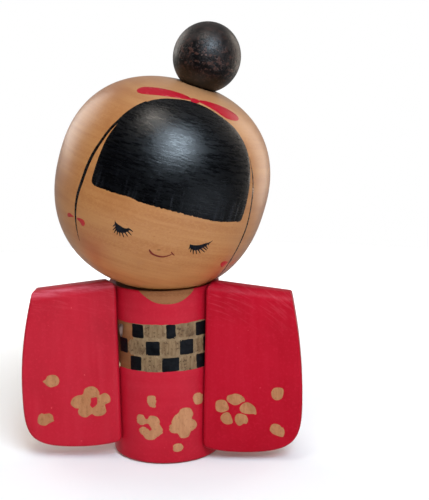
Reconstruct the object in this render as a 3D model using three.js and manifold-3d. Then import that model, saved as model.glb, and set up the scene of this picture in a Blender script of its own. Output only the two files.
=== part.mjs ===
// A painted wooden kokeshi doll. A round head with a bun leans on a straight round body,
// and two flat kimono sleeves are glued along the body's sides.
// Millimetres, +Z up, the doll faces -Y. The origin is the centre of the base's underside.
// Left and right are the doll's own, so its left sleeve is on the +X side.

import * as THREE from 'three';
import { mergeVertices } from 'three/addons/utils/BufferGeometryUtils.js';
import Module from 'manifold-3d';

// Driving dimensions.
const GAP = 0.3; // between pieces that touch

const BODY_RADIUS = 15.5;
const BODY_RIM_HEIGHT = 49.65; // top of the rim round the head's seat
const BODY_RIM_ROUND = 0.5;
const BODY_BASE_CHAMFER = 0.6;
const SEAT_DEPTH = 3.65; // of the dish that the head sits in, at its middle

const HEAD_CENTRE = new THREE.Vector3(0.5, 0, 77.7);
const HEAD_RADIUS = 29.4;
const HEAD_TOP_HEIGHT = 28.1; // above its widest line
const HEAD_BOTTOM_HEIGHT = 30.3; // and below it
const HEAD_POWER = 2.3; // of its superellipse: 2 is an ellipse, more is fuller
const HEAD_TILT = 17; // degrees, towards the doll's left
const FACE_TURN = 12; // degrees, the face turned towards the doll's left

const BUN_RADIUS = 9.25;
const BUN_STRETCH = 1.04; // its length along its own axis, over its width
const BUN_TILT = 21; // degrees, towards the doll's left
const BUN_DISTANCE = 36.05; // bun's centre from the head's centre
const BUN_PEG = { radius: 2, length: 14 };

const NECK_PEG = { radius: 4, bottom: 30, top: 61 };

const SLEEVE_FRONT = -12.5; // y of the sleeves' front faces
const SLEEVE_THICKNESS = 8;
const SLEEVE_MIDDLE = SLEEVE_FRONT + SLEEVE_THICKNESS / 2;
const SLEEVE_EDGE_ROUND = 1;
const SHOULDER_ROUND = 1.2; // of the outline's corner
const SLEEVE_TOP_ROUND = 3; // of the top edge, front and back
const SLEEVE_PEG = { radius: 1.5, inner: 7.5, outer: 21, height: 27 };

// Each sleeve is cut by hand, so the two outlines differ a little.
// x is measured outwards from the body's axis.
const RIGHT_SLEEVE = {
  innerX: 11.9, innerZ: 5.2, hemX: 26.4, hemZ: 3.6, widestX: 39.6, widestZ: 20,
  shoulderX: 35.3, shoulderZ: 48.75, topX: 15, topZ: 51.35, neckX: 12,
};
const LEFT_SLEEVE = {
  innerX: 11.1, innerZ: 3.6, hemX: 22.4, hemZ: 2.3, widestX: 39, widestZ: 20,
  shoulderX: 36, shoulderZ: 48, topX: 16, topZ: 50.8, neckX: 12.8,
};

const GLUE_BEAD = { radius: 0.7, length: 3.8, height: 37.9, x: -10.8 }; // on the right sleeve

const SWEEP_MARGIN = 0.5; // below the head's lowest point, for the sleeves to clear it at any turn

// Facets round each turned piece.
const SIDES = { head: 64, body: 64, bun: 32, peg: 20 };
const HEAD_RINGS = 28;

const RADIANS = Math.PI / 180;
const mix = THREE.MathUtils.lerp;

const material = (color, roughness) =>
  new THREE.MeshStandardMaterial({ color, roughness, metalness: 0 });
const FACE_WOOD = material(0xc8955f, 0.35);
const KIMONO_RED = material(0xc4243a, 0.5);
const BUN_STAIN = material(0x2c2422, 0.4);
const DOWEL_WOOD = material(0xd8bb8c, 0.7);
const GLUE = material(0xcfc4b4, 0.4);

const wasm = await Module();
wasm.setup();

// Joins equal vertices and drops the triangles that collapse on a turned piece's axis.
function welded(geometry) {
  const bare = geometry.clone();
  bare.deleteAttribute('normal');
  bare.deleteAttribute('uv');
  const merged = mergeVertices(bare, 1e-4);
  const corners = [];
  const index = merged.index.array;
  for (let i = 0; i < index.length; i += 3) {
    const [a, b, c] = index.subarray(i, i + 3);
    if (a !== b && b !== c && c !== a) corners.push(a, b, c);
  }
  merged.setIndex(corners);
  return merged;
}

function solidOf(geometry) {
  const { attributes, index } = welded(geometry);
  const vertProperties = new Float32Array(attributes.position.array);
  const triVerts = new Uint32Array(index.array);
  return new wasm.Manifold(new wasm.Mesh({ numProp: 3, vertProperties, triVerts }));
}

function geometryOf(solid) {
  const { vertProperties, triVerts } = solid.getMesh();
  const geometry = new THREE.BufferGeometry();
  geometry.setAttribute('position', new THREE.BufferAttribute(vertProperties, 3));
  geometry.setIndex(new THREE.BufferAttribute(triVerts, 1));
  geometry.computeVertexNormals();
  return geometry;
}

// Cuts every tool out of a solid.
function cut(solid, ...tools) {
  return geometryOf(tools.map(solidOf).reduce((rest, tool) => rest.subtract(tool), solid));
}

function piece(name, geometry, surface) {
  const mesh = new THREE.Mesh(geometry, surface);
  mesh.name = name;
  return mesh;
}

// Turns a profile of (radius, height) points about +Z. The profile runs upwards.
function turned(profile, sides) {
  return new THREE.LatheGeometry(profile, sides).rotateX(Math.PI / 2);
}

// A dowel along +Z from z = 0, with its ends chamfered.
function dowel(radius, length) {
  const chamfer = radius / 5;
  const profile = [
    [0, 0], [radius - chamfer, 0], [radius, chamfer],
    [radius, length - chamfer], [radius - chamfer, length], [0, length],
  ].map(([r, z]) => new THREE.Vector2(r, z));
  return turned(profile, SIDES.peg);
}

// The hole that a dowel goes in.
const dowelHole = (radius, length) => dowel(radius + GAP, length + 2 * GAP).translate(0, 0, -GAP);

// Moves a dowel or its hole from the origin to where it joins the body to a sleeve.
function laidAcross(geometry, side) {
  const across = geometry.rotateY((side * Math.PI) / 2);
  return across.translate(side * SLEEVE_PEG.inner, SLEEVE_MIDDLE, SLEEVE_PEG.height);
}

// The hole for a sleeve's dowel, in both the body and the board.
function sleeveHole(side) {
  const { radius, inner, outer } = SLEEVE_PEG;
  return laidAcross(dowelHole(radius, outer - inner), side);
}

// A straight cylinder with a flat base and a dished top that the head sits in.
function bodyGeometry() {
  const dishRadius = BODY_RADIUS - BODY_RIM_ROUND;
  const dishSphere = (dishRadius ** 2 + SEAT_DEPTH ** 2) / (2 * SEAT_DEPTH);
  const dishAngle = Math.asin(dishRadius / dishSphere);
  const dishCentre = BODY_RIM_HEIGHT - SEAT_DEPTH + dishSphere;
  const outline = new THREE.Path();
  outline.moveTo(0, 0);
  outline.lineTo(BODY_RADIUS - BODY_BASE_CHAMFER, 0);
  outline.lineTo(BODY_RADIUS, BODY_BASE_CHAMFER);
  outline.lineTo(BODY_RADIUS, BODY_RIM_HEIGHT - BODY_RIM_ROUND);
  outline.absarc(dishRadius, BODY_RIM_HEIGHT - BODY_RIM_ROUND, BODY_RIM_ROUND, 0, Math.PI / 2);
  outline.absarc(0, dishCentre, dishSphere, dishAngle - Math.PI / 2, -Math.PI / 2, true);
  return turned(outline.getPoints(4), SIDES.body);
}

// A flattened ball about its own centre: its upper and lower halves are superellipses
// that meet at the widest line.
function headGeometry(topHeight, bottomHeight) {
  const profile = [];
  for (let i = 0; i <= HEAD_RINGS; i += 1) {
    const angle = (i / HEAD_RINGS - 0.5) * Math.PI;
    const height = angle > 0 ? topHeight : bottomHeight;
    const across = i % HEAD_RINGS === 0 ? 0 : Math.cos(angle) ** (2 / HEAD_POWER);
    const up = Math.sign(angle) * Math.abs(Math.sin(angle)) ** (2 / HEAD_POWER);
    profile.push(new THREE.Vector2(HEAD_RADIUS * across, height * up));
  }
  return turned(profile, SIDES.head);
}

// The space that the leaning head sweeps as it turns about the upright axis of its peg.
function headSweep() {
  const swept = headGeometry(HEAD_TOP_HEIGHT, HEAD_BOTTOM_HEIGHT + SWEEP_MARGIN);
  return swept.translate(0, 0, HEAD_CENTRE.z);
}

// A slightly long ball about its own centre, grown on all sides by the given margin.
function bunGeometry(margin = 0) {
  const radius = BUN_RADIUS + margin;
  const ball = new THREE.SphereGeometry(radius, SIDES.bun, SIDES.bun / 2).rotateX(Math.PI / 2);
  return ball.scale(1, 1, BUN_STRETCH);
}

// A sleeve board seen from the front, on the given side (-1 right, 1 left). Its hem sags and
// turns up in a wide corner, its outer edge bows out, and its top edge falls from the neck to
// the shoulder.
function sleeveOutline(s, side) {
  const outline = new THREE.Shape();
  const line = (x, z) => outline.lineTo(side * x, z);
  const curve = (x1, z1, x, z) => outline.quadraticCurveTo(side * x1, z1, side * x, z);
  const corner = { x: mix(s.hemX, s.widestX, 0.96), z: mix(s.hemZ, s.widestZ, 0.25) };
  outline.moveTo(side * s.innerX, s.innerZ + 1.5);
  curve(s.innerX, s.innerZ, s.innerX + 2, s.innerZ - 0.3);
  curve(mix(s.innerX, s.hemX, 0.5), s.hemZ, s.hemX, s.hemZ);
  outline.bezierCurveTo(
    side * corner.x, s.hemZ, side * s.widestX, corner.z, side * s.widestX, s.widestZ,
  );
  const { shoulderX, shoulderZ } = s;
  curve(s.widestX, mix(s.widestZ, shoulderZ, 0.45), shoulderX + 0.35, shoulderZ - SHOULDER_ROUND);
  curve(shoulderX + 0.15, shoulderZ, shoulderX - SHOULDER_ROUND, shoulderZ + 0.15);
  line(s.topX, s.topZ);
  curve(s.neckX, s.topZ, s.neckX, s.topZ - 2.5);
  return outline;
}

// A long bar whose top edges are rounded, front and back. It lies along the sleeve's top edge,
// which falls towards the shoulder, and gives the board its rounded top.
function roundedTop(s, side) {
  const half = SLEEVE_THICKNESS / 2 + 0.05;
  const section = new THREE.Shape();
  section.moveTo(-half, -60);
  section.lineTo(half, -60);
  const middle = half - SLEEVE_TOP_ROUND;
  section.absarc(middle, -SLEEVE_TOP_ROUND, SLEEVE_TOP_ROUND, 0, Math.PI / 2);
  section.absarc(-middle, -SLEEVE_TOP_ROUND, SLEEVE_TOP_ROUND, Math.PI / 2, Math.PI);
  const bar = new THREE.ExtrudeGeometry(section, {
    depth: 70,
    bevelEnabled: false,
    curveSegments: 8,
  });
  bar.rotateX(Math.PI / 2).rotateZ((side * Math.PI) / 2).translate(side * -20, 0, 0);
  const fall = Math.atan2(s.topZ - s.shoulderZ - 0.15, s.shoulderX - SHOULDER_ROUND - s.topX);
  return bar.rotateY(side * fall).translate(side * s.topX, SLEEVE_MIDDLE, s.topZ);
}

// The board on the given side, with a rounded top, a cove that fits the body, room for the head
// to turn over it, and the hole for its dowel.
function sleeveGeometry(s, side) {
  const back = SLEEVE_FRONT + SLEEVE_THICKNESS;
  const board = new THREE.ExtrudeGeometry(sleeveOutline(s, side), {
    depth: SLEEVE_THICKNESS - 2 * SLEEVE_EDGE_ROUND,
    bevelSize: SLEEVE_EDGE_ROUND,
    bevelOffset: -SLEEVE_EDGE_ROUND,
    bevelThickness: SLEEVE_EDGE_ROUND,
    bevelSegments: 3,
    curveSegments: 8,
  });
  board.rotateX(Math.PI / 2).translate(0, back - SLEEVE_EDGE_ROUND, 0);
  const coveRadius = BODY_RADIUS + GAP;
  const cove = new THREE.CylinderGeometry(coveRadius, coveRadius, 150, SIDES.body);
  cove.rotateX(Math.PI / 2);
  const rounded = solidOf(board).intersect(solidOf(roundedTop(s, side)));
  return cut(rounded, cove, headSweep(), sleeveHole(side));
}

// A dowel that lies across, out of the body's side and into the middle of the board.
function sleevePeg(name, side) {
  const { radius, inner, outer } = SLEEVE_PEG;
  return piece(name, laidAcross(dowel(radius, outer - inner), side), DOWEL_WOOD);
}

// A bead of glue that dried in the corner between the body and the right sleeve's front edge.
function glueBead() {
  const { radius, length, height, x } = GLUE_BEAD;
  const bead = piece('glue_bead', new THREE.SphereGeometry(radius, 12, 8), GLUE);
  const fromAxis = BODY_RADIUS + GAP + radius;
  bead.scale.z = length / 2 / radius;
  bead.position.set(x, -Math.sqrt(fromAxis ** 2 - x ** 2), height);
  return bead;
}

const doll = new THREE.Group();

// The part that stands still: the body, its sleeves and the peg that the head turns on.
const neckPegLength = NECK_PEG.top - NECK_PEG.bottom;
const neckHole = dowelHole(NECK_PEG.radius, neckPegLength).translate(0, 0, NECK_PEG.bottom);
const bodyHoles = [neckHole, sleeveHole(-1), sleeveHole(1)];
doll.add(piece('body', cut(solidOf(bodyGeometry()), ...bodyHoles), KIMONO_RED));
const neckPeg = piece('neck_peg', dowel(NECK_PEG.radius, neckPegLength), DOWEL_WOOD);
neckPeg.position.z = NECK_PEG.bottom;
doll.add(neckPeg);
doll.add(piece('right_sleeve', sleeveGeometry(RIGHT_SLEEVE, -1), KIMONO_RED));
doll.add(piece('left_sleeve', sleeveGeometry(LEFT_SLEEVE, 1), KIMONO_RED));
doll.add(sleevePeg('right_sleeve_peg', -1));
doll.add(sleevePeg('left_sleeve_peg', 1));
doll.add(glueBead());

// The part that turns: the head with its bun. The head's own axis leans, but it turns on the
// upright peg, so its hole is upright too.
const headGroup = new THREE.Group();
headGroup.position.copy(HEAD_CENTRE);
const bunGroup = new THREE.Group();
bunGroup.position.copy(HEAD_CENTRE);
bunGroup.rotation.y = BUN_TILT * RADIANS;
const face = new THREE.Group();
face.rotation.set(0, HEAD_TILT * RADIANS, FACE_TURN * RADIANS, 'YXZ');
headGroup.add(face);
headGroup.updateMatrixWorld(true);
bunGroup.updateMatrixWorld(true);

const bunPegStart = BUN_DISTANCE - BUN_RADIUS - BUN_PEG.length / 2;
const bunHole = dowelHole(BUN_PEG.radius, BUN_PEG.length).translate(0, 0, bunPegStart);
const bunInPlace = bunGeometry(GAP).translate(0, 0, BUN_DISTANCE);
const toHead = face.matrixWorld.clone().invert();
const bunToHead = toHead.clone().multiply(bunGroup.matrixWorld);
const headTools = [
  neckHole.clone().applyMatrix4(toHead),
  bunInPlace.applyMatrix4(bunToHead),
  bunHole.clone().applyMatrix4(bunToHead),
];
const wholeHead = headGeometry(HEAD_TOP_HEIGHT, HEAD_BOTTOM_HEIGHT);
face.add(piece('head', cut(solidOf(wholeHead), ...headTools), FACE_WOOD));

const bunSolid = solidOf(bunGeometry());
const bun = piece('hair_bun', cut(bunSolid, bunHole.translate(0, 0, -BUN_DISTANCE)), BUN_STAIN);
bun.position.z = BUN_DISTANCE;
const bunPeg = piece('bun_peg', dowel(BUN_PEG.radius, BUN_PEG.length), DOWEL_WOOD);
bunPeg.position.z = bunPegStart;
bunGroup.add(bun, bunPeg);
doll.add(headGroup, bunGroup);

export default doll;
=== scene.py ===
"""The looks of the kokeshi doll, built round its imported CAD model.

Everything is in the CAD's frame: +Z up, the doll faces -Y, and its own left is +X. Lengths
are written in millimetres and angles in degrees, and meshes are made in metres.
Paint is modelled as what it is: thin closed films on bare wood.
"""

import math
import random

import bpy
import numpy as np
from mathutils import Matrix, Vector, geometry, noise


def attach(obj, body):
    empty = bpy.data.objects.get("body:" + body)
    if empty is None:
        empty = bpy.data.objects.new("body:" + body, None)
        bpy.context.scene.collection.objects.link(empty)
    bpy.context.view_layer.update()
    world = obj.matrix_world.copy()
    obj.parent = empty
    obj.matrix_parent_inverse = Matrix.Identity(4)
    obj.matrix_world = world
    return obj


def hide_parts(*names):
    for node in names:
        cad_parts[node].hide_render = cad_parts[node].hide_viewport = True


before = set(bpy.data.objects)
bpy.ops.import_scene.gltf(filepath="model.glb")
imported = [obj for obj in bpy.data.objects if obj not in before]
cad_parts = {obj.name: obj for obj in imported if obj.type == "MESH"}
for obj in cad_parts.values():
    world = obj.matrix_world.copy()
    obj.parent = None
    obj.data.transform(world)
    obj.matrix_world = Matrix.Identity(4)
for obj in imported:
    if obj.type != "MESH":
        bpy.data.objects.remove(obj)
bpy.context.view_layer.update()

MM = 0.001

# ---- Sizes that the CAD model has too ----

GAP = 0.3

BODY_RADIUS = 15.5
RIM_HEIGHT = 49.65
RIM_ROUND = 0.5
BASE_CHAMFER = 0.6
SEAT_DEPTH = 3.65

HEAD_CENTRE = Vector((0.5, 0, 77.7))
HEAD_RADIUS = 29.4
HEAD_TOP = 28.1
HEAD_BOTTOM = 30.3
HEAD_POWER = 2.3
HEAD_TILT = 17
FACE_TURN = 12

BUN_RADIUS = 9.25
BUN_STRETCH = 1.04
BUN_TILT = 21
BUN_DISTANCE = 36.05
BUN_PEG = {"radius": 2, "start": 19.8, "length": 14}
NECK_PEG = {"radius": 4, "start": 30, "length": 31}

SLEEVE_FRONT = -12.5
SLEEVE_THICKNESS = 8
SLEEVE_EDGE = 1
SHOULDER_ROUND = 1.2
SLEEVE_TOP_ROUND = 3
SLEEVE_PEG = {"radius": 1.5, "start": 7.5, "length": 13.5, "height": 27}
RIGHT_SLEEVE = {
    "inner": (11.9, 5.2), "hem": (26.4, 3.6), "widest": (39.6, 20),
    "shoulder": (35.3, 48.75), "top": (15, 51.35), "neck": 12,
}
LEFT_SLEEVE = {
    "inner": (11.1, 3.6), "hem": (22.4, 2.3), "widest": (39, 20),
    "shoulder": (36, 48), "top": (16, 50.8), "neck": 12.8,
}
GLUE = {"x": -10.8, "height": 37.9, "radius": 0.7, "length": 3.8}
SWEEP_MARGIN = 0.5

# How finely the turned pieces are made.
BODY_SIDES = 192
HEAD_SIDES = 192
HEAD_RINGS = 128
BUN_SIDES = 96
BUN_RINGS = 64
SWEEP_SIDES = 144
SWEEP_RINGS = 96
HOLE_SIDES = 48
WALL_RINGS = 24
RIM_RINGS = 8
DISH_RINGS = 24


def moved(x, y, z):
    return Matrix.Translation(Vector((x, y, z)) * MM)


def turned(angle, axis):
    return Matrix.Rotation(math.radians(angle), 4, axis)


# Where the head's and the bun's own frames are.
HEAD_PLACE = moved(*HEAD_CENTRE) @ turned(HEAD_TILT, "Y") @ turned(FACE_TURN, "Z")
BUN_LINE = moved(*HEAD_CENTRE) @ turned(BUN_TILT, "Y")
BUN_PLACE = BUN_LINE @ moved(0, 0, BUN_DISTANCE)


# ---- Flat outlines ----

STROKE_STEPS = 5


def spline(points, closed, steps):
    """A smooth line through points of any number of coordinates."""
    count = len(points)
    line = []
    for i in range(count if closed else count - 1):
        if closed:
            near = [points[(i + k - 1) % count] for k in range(4)]
        else:
            near = [points[min(max(i + k - 1, 0), count - 1)] for k in range(4)]
        for step in range(steps):
            t = step / steps
            line.append(tuple(
                0.5 * (2 * b + (c - a) * t + (2 * a - 5 * b + 4 * c - d) * t * t
                       + (3 * b - a - 3 * c + d) * t ** 3)
                for a, b, c, d in zip(*near)
            ))
    if not closed:
        line.append(tuple(points[-1]))
    return line


def loop(points, steps=3):
    return spline(points, True, steps)


def stroke(points):
    """The outline of a brush line through (across, up, half-width) points."""
    line = spline(points, False, STROKE_STEPS)
    left, right = [], []
    for i, (x, y, half) in enumerate(line):
        ahead, behind = line[min(i + 1, len(line) - 1)], line[max(i - 1, 0)]
        dx, dy = ahead[0] - behind[0], ahead[1] - behind[1]
        length = math.hypot(dx, dy)
        across = (-dy / length * half, dx / length * half)
        left.append((x + across[0], y + across[1]))
        right.append((x - across[0], y - across[1]))
    return left + right[::-1]


def unrolled(points, radius):
    """Points given as (degrees round, height) with the first coordinate as a length."""
    return [(math.radians(p[0]) * radius, *p[1:]) for p in points]


FLAT_TRIANGLE = 2e-4  # three points in a row on a straight edge make one of no real area
ROW_SPACING = 0.87  # of the spacing along a row, as in even triangles
EDGE_SPACING = 0.55  # of the spacing, kept free along an edge


def inside(points, outline):
    """For each point, whether it's inside the outline."""
    p = np.asarray(points, float)
    a = np.asarray(outline, float)
    b = np.roll(a, -1, axis=0)
    crosses = (a[:, 1] > p[:, None, 1]) != (b[:, 1] > p[:, None, 1])
    with np.errstate(divide="ignore", invalid="ignore"):
        at = (b[:, 0] - a[:, 0]) * (p[:, None, 1] - a[:, 1]) / (b[:, 1] - a[:, 1]) + a[:, 0]
    return (crosses & (p[:, None, 0] < at)).sum(axis=1) % 2 == 1


def between(points, outline, *holes):
    """For each point, whether it's inside the outline and in none of the holes."""
    kept = inside(points, outline)
    for hole in holes:
        kept &= ~inside(points, hole)
    return kept


def filled(outline, holes, spacing):
    """Triangles that fill an outline, with points inside it at the given spacing.

    Returns the points, whether each of them is on an edge, and the triangles."""
    loops = [list(outline), *[list(h) for h in holes]]
    points, edges = [], []
    for ring in loops:
        start = len(points)
        points += ring
        edges += [(start + i, start + (i + 1) % len(ring)) for i in range(len(ring))]
    rim = np.asarray(points, float)
    low, high = rim.min(axis=0), rim.max(axis=0)
    grid = []
    rows = max(1, int((high[1] - low[1]) / (spacing * ROW_SPACING)))
    for j in range(1, rows + 1):
        y = low[1] + (j - 0.5) * (high[1] - low[1]) / rows
        columns = max(1, int((high[0] - low[0]) / spacing))
        for i in range(columns + 1):
            grid.append((low[0] + (i + 0.5 * (j % 2)) * spacing, y))
    for p, keep in zip(grid, between(grid, *loops)):
        if keep and np.hypot(*(rim - p).T).min() > EDGE_SPACING * spacing:
            points.append(p)
    filling = geometry.delaunay_2d_cdt([Vector(p) for p in points], edges, [], 0, 1e-7)
    verts, triangles, origins = filling[0], filling[2], filling[3]
    centres = [tuple(sum((verts[i] for i in t), Vector((0, 0))) / 3) for t in triangles]
    on_edge = [any(point < len(rim) for point in merged) for merged in origins]
    facing_out = []
    for (a, b, c), keep in zip(triangles, between(centres, *loops)):
        area = (verts[b] - verts[a]).cross(verts[c] - verts[a])
        if keep and abs(area) > FLAT_TRIANGLE:
            facing_out.append((a, b, c) if area > 0 else (a, c, b))
    return [tuple(v) for v in verts], on_edge, facing_out


# ---- Surfaces that paint lies on ----
# Each takes a length across and a height, and gives the point and the outward direction.

def on_head(across, up):
    """In the head's own frame, from the middle of the face, round its widest line."""
    height = HEAD_TOP if up > 0 else HEAD_BOTTOM
    share = (1 - (abs(up) / height) ** HEAD_POWER) ** (1 / HEAD_POWER)
    turn = across / HEAD_RADIUS
    out = Vector((math.sin(turn), -math.cos(turn), 0))
    rise = math.copysign((abs(up) / height) ** (HEAD_POWER - 1) / height, up)
    normal = out * (share ** (HEAD_POWER - 1) / HEAD_RADIUS) + Vector((0, 0, rise))
    return out * (HEAD_RADIUS * share) + Vector((0, 0, up)), normal.normalized()


DISH_RADIUS = BODY_RADIUS - RIM_ROUND
DISH_SPHERE = (DISH_RADIUS ** 2 + SEAT_DEPTH ** 2) / (2 * SEAT_DEPTH)
DISH_CENTRE = RIM_HEIGHT - SEAT_DEPTH + DISH_SPHERE
RIM_TOP = RIM_HEIGHT - RIM_ROUND + RIM_ROUND * math.pi / 2


def on_body(across, up):
    """Round the body from its front. Heights past the rim's edge run over its rounding and on
    down into the dish."""
    turn = across / BODY_RADIUS
    out = Vector((math.sin(turn), -math.cos(turn), 0))
    rim = RIM_HEIGHT - RIM_ROUND
    if up > RIM_TOP:
        r = DISH_RADIUS - (up - RIM_TOP)
        at = out * r + Vector((0, 0, DISH_CENTRE - math.sqrt(DISH_SPHERE ** 2 - r ** 2)))
        return at, (Vector((0, 0, DISH_CENTRE)) - at).normalized()
    if up > rim:
        angle = (up - rim) / RIM_ROUND
        normal = out * math.cos(angle) + Vector((0, 0, math.sin(angle)))
        return out * DISH_RADIUS + Vector((0, 0, rim)) + normal * RIM_ROUND, normal
    if up < BASE_CHAMFER:
        return out * (BODY_RADIUS - BASE_CHAMFER + up) + Vector((0, 0, up)), out
    return out * BODY_RADIUS + Vector((0, 0, up)), out


UNEVEN_DEPTH = 0.07
UNEVEN_RATE = 0.09


def unevenness(x, z):
    """How far the hand-sanded front of a sleeve stands out from flat."""
    return UNEVEN_DEPTH * noise.noise(Vector((x * UNEVEN_RATE, 3.1, z * UNEVEN_RATE)))


def on_sleeve(across, up):
    return Vector((across, SLEEVE_FRONT - unevenness(across, up), up)), Vector((0, -1, 0))


# ---- Meshes ----

def in_scene(name, data):
    item = bpy.data.objects.new(name, data)
    bpy.context.scene.collection.objects.link(item)
    return item


SHARP_ANGLE = 35


def made(name, verts, faces, place=None, sharp=SHARP_ANGLE):
    """A smooth-shaded object from points in millimetres."""
    mesh = bpy.data.meshes.new(name)
    mesh.from_pydata([Vector(v) * MM for v in verts], [], faces)
    mesh.validate()
    item = in_scene(name, mesh)
    if place is not None:
        item.matrix_world = place
    smooth(item, sharp)
    return item


def smooth(item, sharp=SHARP_ANGLE):
    item.data.shade_smooth()
    item.data.set_sharp_from_angle(angle=math.radians(sharp))


class Film:
    """Closed films of dried paint, each a little proud of its surface and sunk a little in."""

    SINK = 0.06
    RING_LIFT = 0.06
    EDGE_SHARE = 0.35
    RING_COLUMNS = 320
    RING_ROWS = 60
    SHARP_ANGLE = 60

    def __init__(self):
        self.verts, self.faces = [], []

    def lay(self, at, normal, lift, on_edge, proud):
        """Adds a point of the proud side, which is lower at the film's edge, or the sunk side."""
        height = lift * (self.EDGE_SHARE if on_edge else 1) if proud else -self.SINK
        self.verts.append(at + normal * height)

    def add(self, outline, surface, lift, spacing=0.8, holes=()):
        """A film that fills an outline."""
        points, on_edge, triangles = filled(outline, holes, spacing)
        start, count = len(self.verts), len(points)
        for proud in (True, False):
            for p, edge in zip(points, on_edge):
                self.lay(*surface(*p), lift, edge, proud)
        used = set()
        for a, b, c in triangles:
            self.faces.append((start + a, start + b, start + c))
            self.faces.append((start + count + c, start + count + b, start + count + a))
            used |= {(a, b), (b, c), (c, a)}
        for a, b in used:
            if (b, a) not in used:
                self.faces.append((start + b, start + a, start + count + a, start + count + b))
        return self

    def ring(self, low, high):
        """Makes an empty film go all the way round the body, from low to high, each a height
        for an angle in degrees."""
        columns, rows = self.RING_COLUMNS, self.RING_ROWS
        size = columns * (rows + 1)
        for proud in (True, False):
            for j in range(rows + 1):
                for i in range(columns):
                    angle = i * 360 / columns - 180
                    up = low(angle) + (high(angle) - low(angle)) * j / rows
                    at, normal = on_body(math.radians(angle) * BODY_RADIUS, up)
                    self.lay(at, normal, self.RING_LIFT, j in (0, rows), proud)
        top = rows * columns
        for i in range(columns):
            k = (i + 1) % columns
            for j in range(rows):
                a, b = j * columns + i, j * columns + k
                c, d = b + columns, a + columns
                self.faces.append((a, b, c, d))
                self.faces.append((d + size, c + size, b + size, a + size))
            self.faces.append((k, i, i + size, k + size))
            self.faces.append((top + i, top + k, top + k + size, top + i + size))
        return self

    def made(self, name, place=None):
        keep = sorted({i for f in self.faces for i in f})
        renumbered = {old: new for new, old in enumerate(keep)}
        faces = [tuple(renumbered[i] for i in f) for f in self.faces]
        return made(name, [self.verts[i] for i in keep], faces, place, self.SHARP_ANGLE)


def lathe(profile, sides):
    """Points and faces of a turned solid whose (radius, height) profile runs up the outside,
    from the axis back to the axis."""
    verts, faces, rings = [], [], []
    for r, z in profile:
        if r < 1e-6:
            rings.append([len(verts)])
            verts.append((0, 0, z))
            continue
        rings.append(list(range(len(verts), len(verts) + sides)))
        for i in range(sides):
            turn = i / sides * math.tau
            verts.append((r * math.cos(turn), r * math.sin(turn), z))
    for low, high in zip(rings, rings[1:]):
        for i in range(sides):
            k = (i + 1) % sides
            if len(low) == 1:
                faces.append((low[0], high[k], high[i]))
            elif len(high) == 1:
                faces.append((low[i], low[k], high[0]))
            else:
                faces.append((low[i], low[k], high[k], high[i]))
    return verts, faces


def carve(item, tool, operation="DIFFERENCE"):
    """Cuts the tool out of item, or keeps what both share, and removes the tool."""
    modifier = item.modifiers.new("carve", "BOOLEAN")
    modifier.operation = operation
    modifier.solver = "MANIFOLD"
    modifier.object = tool
    evaluated = item.evaluated_get(bpy.context.evaluated_depsgraph_get())
    mesh = bpy.data.meshes.new_from_object(evaluated)
    if len(mesh.vertices) == len(item.data.vertices):
        raise ValueError(f"{item.name}: nothing was carved")
    item.modifiers.clear()
    item.data = mesh
    bpy.data.objects.remove(tool)
    smooth(item)


def hole_tool(peg, place):
    """A solid the size of the hole that a peg goes in."""
    low, high = peg["start"] - GAP, peg["start"] + peg["length"] + GAP
    radius = peg["radius"] + GAP
    return made("tool", *lathe([(0, low), (radius, low), (radius, high), (0, high)], HOLE_SIDES),
                place)


def head_profile(bottom, rings):
    profile = []
    for i in range(rings + 1):
        angle = (i / rings - 0.5) * math.pi
        height = HEAD_TOP if angle > 0 else bottom
        across = 0 if i in (0, rings) else math.cos(angle) ** (2 / HEAD_POWER)
        up = math.copysign(abs(math.sin(angle)) ** (2 / HEAD_POWER), angle)
        profile.append((HEAD_RADIUS * across, height * up))
    return profile


# ---- Materials ----

def shade(red, green, blue):
    """A linear colour from an sRGB one."""
    def linear(value):
        value /= 255
        return value / 12.92 if value <= 0.04045 else ((value + 0.055) / 1.055) ** 2.4
    return (linear(red), linear(green), linear(blue), 1)


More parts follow.
